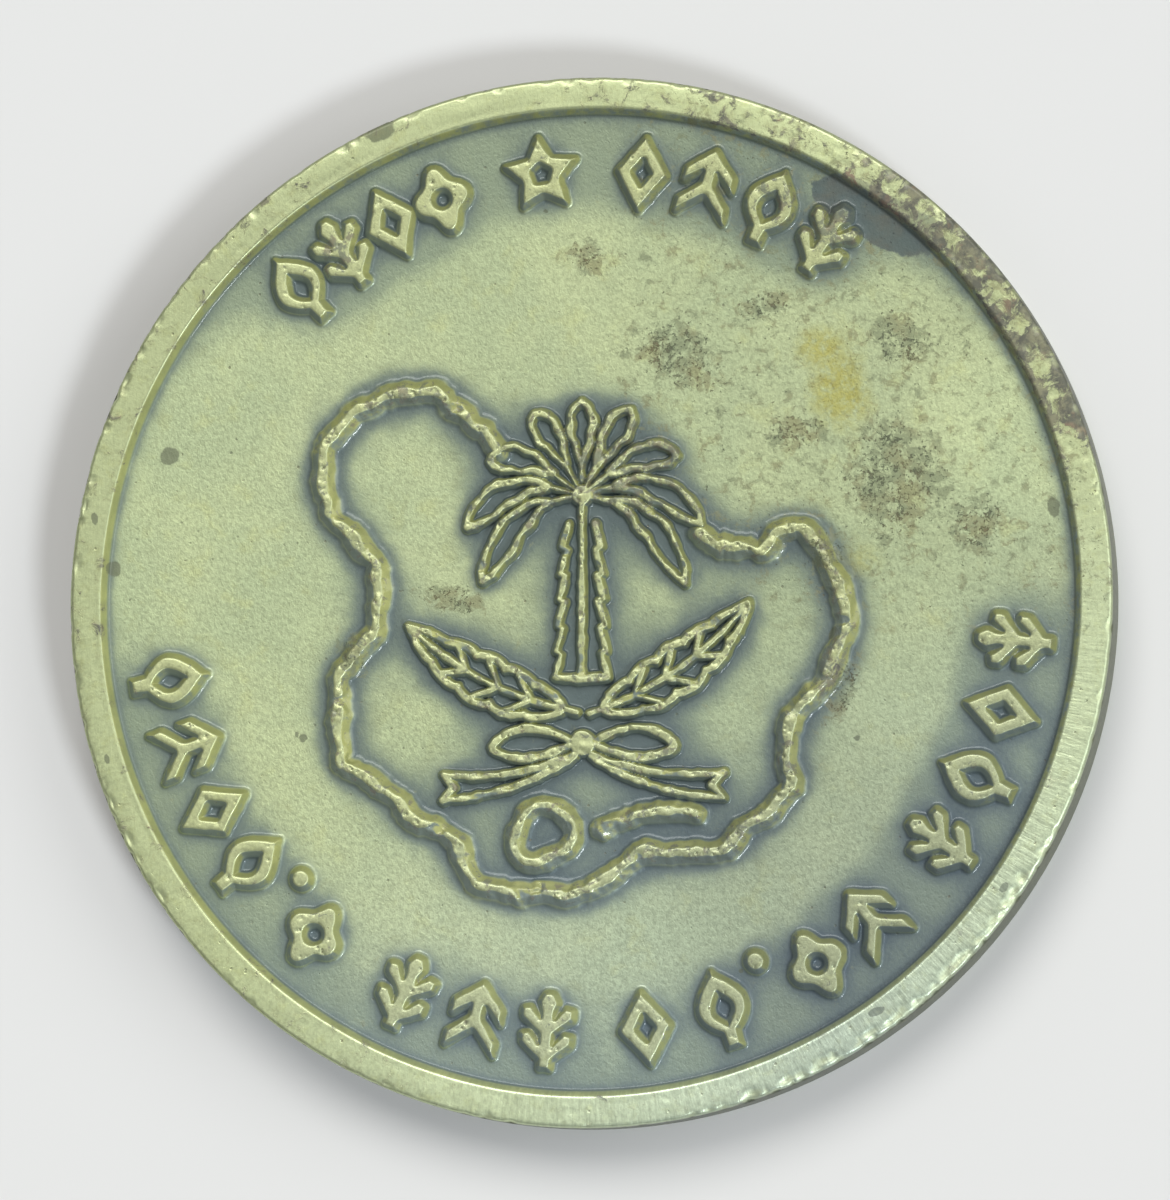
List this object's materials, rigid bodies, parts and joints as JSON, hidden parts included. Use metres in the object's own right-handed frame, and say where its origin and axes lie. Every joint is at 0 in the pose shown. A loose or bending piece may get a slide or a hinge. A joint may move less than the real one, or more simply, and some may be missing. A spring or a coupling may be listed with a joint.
{
  "type": "challenge coin",
  "caption": "Round struck brass challenge coin with a raised rim, a border of raised leaf, star and lozenge ornaments, and a palm-island device on the obverse.",
  "frame": {"origin": "centre of the reverse rim's flat face, which is the plane the coin lies on", "axes": "+Z out of the obverse, normal to the coin; +Y to the top of the obverse design; +X to the right of the obverse design"},
  "size_m": [0.0382, 0.0382, 0.0028],
  "materials": {
    "matt_field_brass": "sand-blasted antique brass, matt, dark patina in the corners beside the relief",
    "rubbed_rim_brass": "rubbed satin antique brass with nicks, brown stains on the upper right",
    "rubbed_device_brass": "rubbed satin antique brass over dark patina, thin lacquer"
  },
  "bodies": {
    "root": {"coastline": "rubbed_device_brass", "coin_blank": "matt_field_brass", "lake_shore": "rubbed_device_brass", "leaf_left": "rubbed_device_brass", "leaf_right": "rubbed_device_brass", "lower_chevron_1": "rubbed_device_brass", "lower_chevron_2": "rubbed_device_brass", "lower_chevron_3": "rubbed_device_brass", "lower_leaf_1": "rubbed_device_brass", "lower_leaf_2": "rubbed_device_brass", "lower_leaf_3": "rubbed_device_brass", "lower_leaf_4": "rubbed_device_brass", "lower_lozenge_1": "rubbed_device_brass", "lower_lozenge_2": "rubbed_device_brass", "lower_lozenge_3": "rubbed_device_brass", "lower_pellet_1": "rubbed_device_brass", "lower_pellet_2": "rubbed_device_brass", "lower_rosette_1": "rubbed_device_brass", "lower_rosette_2": "rubbed_device_brass", "lower_sprig_1": "rubbed_device_brass", "lower_sprig_2": "rubbed_device_brass", "lower_sprig_3": "rubbed_device_brass", "lower_sprig_4": "rubbed_device_brass", "obverse_rim": "rubbed_rim_brass", "palm_crown": "rubbed_device_brass", "palm_frond_1": "rubbed_device_brass", "palm_frond_2": "rubbed_device_brass", "palm_frond_3": "rubbed_device_brass", "palm_frond_4": "rubbed_device_brass", "palm_frond_5": "rubbed_device_brass", "palm_frond_6": "rubbed_device_brass", "palm_frond_7": "rubbed_device_brass", "palm_frond_8": "rubbed_device_brass", "palm_frond_9": "rubbed_device_brass", "palm_trunk": "rubbed_device_brass", "reverse_rim": "rubbed_rim_brass", "ribbon_knot": "rubbed_device_brass", "ribbon_loop_left": "rubbed_device_brass", "ribbon_loop_right": "rubbed_device_brass", "ribbon_tail_left": "rubbed_device_brass", "ribbon_tail_right": "rubbed_device_brass", "river_line": "rubbed_device_brass", "upper_chevron_1": "rubbed_device_brass", "upper_leaf_1": "rubbed_device_brass", "upper_leaf_2": "rubbed_device_brass", "upper_lozenge_1": "rubbed_device_brass", "upper_lozenge_2": "rubbed_device_brass", "upper_rosette_1": "rubbed_device_brass", "upper_sprig_1": "rubbed_device_brass", "upper_sprig_2": "rubbed_device_brass", "upper_star_1": "rubbed_device_brass"}
  },
  "joints": []
}
